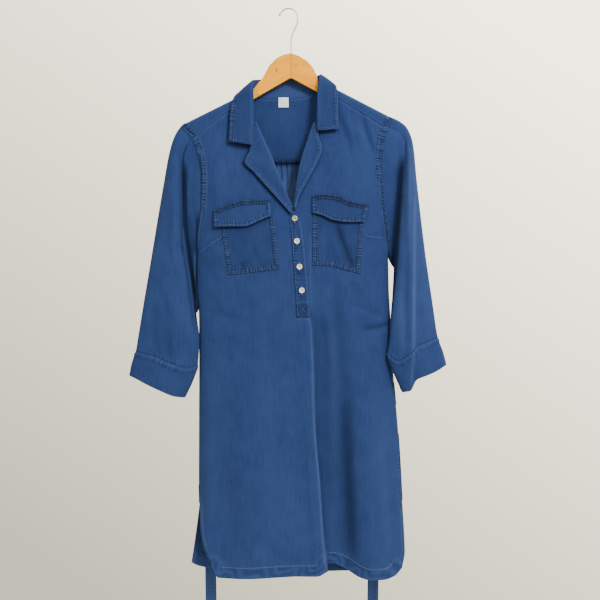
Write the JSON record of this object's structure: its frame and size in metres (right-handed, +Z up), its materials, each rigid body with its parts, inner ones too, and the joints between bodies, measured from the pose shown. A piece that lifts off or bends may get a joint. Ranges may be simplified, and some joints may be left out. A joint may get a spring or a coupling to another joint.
{
  "type": "shirt dress on a wooden hanger",
  "caption": "Knee-length button-neck shirt dress in soft blue chambray with chest pockets and belt ties, hung flat on a wooden hanger by its wire hook.",
  "frame": {"origin": "inside top of the hanger's hook, where the rail or wall hook holds it", "axes": "+Z up, the dress's front faces -Y, +X towards the wearer's left side"},
  "size_m": [0.6296, 0.0799, 1.2936],
  "materials": {
    "dress_cloth": "soft washed chambray",
    "button_pearl": "pearly",
    "label_cloth": "plain woven",
    "hanger_wood": "clear varnish",
    "hook_wire": "bright wire"
  },
  "bodies": {
    "root": {"front": "dress_cloth", "back": "dress_cloth", "yoke": "dress_cloth", "collar": "dress_cloth", "lapel_L": "dress_cloth", "lapel_R": "dress_cloth", "placket": "dress_cloth", "pocket_L": "dress_cloth", "pocket_R": "dress_cloth", "flap_L": "dress_cloth", "flap_R": "dress_cloth", "sleeve_L": "dress_cloth", "sleeve_R": "dress_cloth", "cuff_L": "dress_cloth", "cuff_R": "dress_cloth", "tie_L": "dress_cloth", "tie_R": "dress_cloth", "button_1": "button_pearl", "button_2": "button_pearl", "button_3": "button_pearl", "button_4": "button_pearl", "neck_label": "label_cloth", "hanger_L": "hanger_wood", "hanger_R": "hanger_wood", "hanger_hook": "hook_wire"}
  },
  "joints": []
}
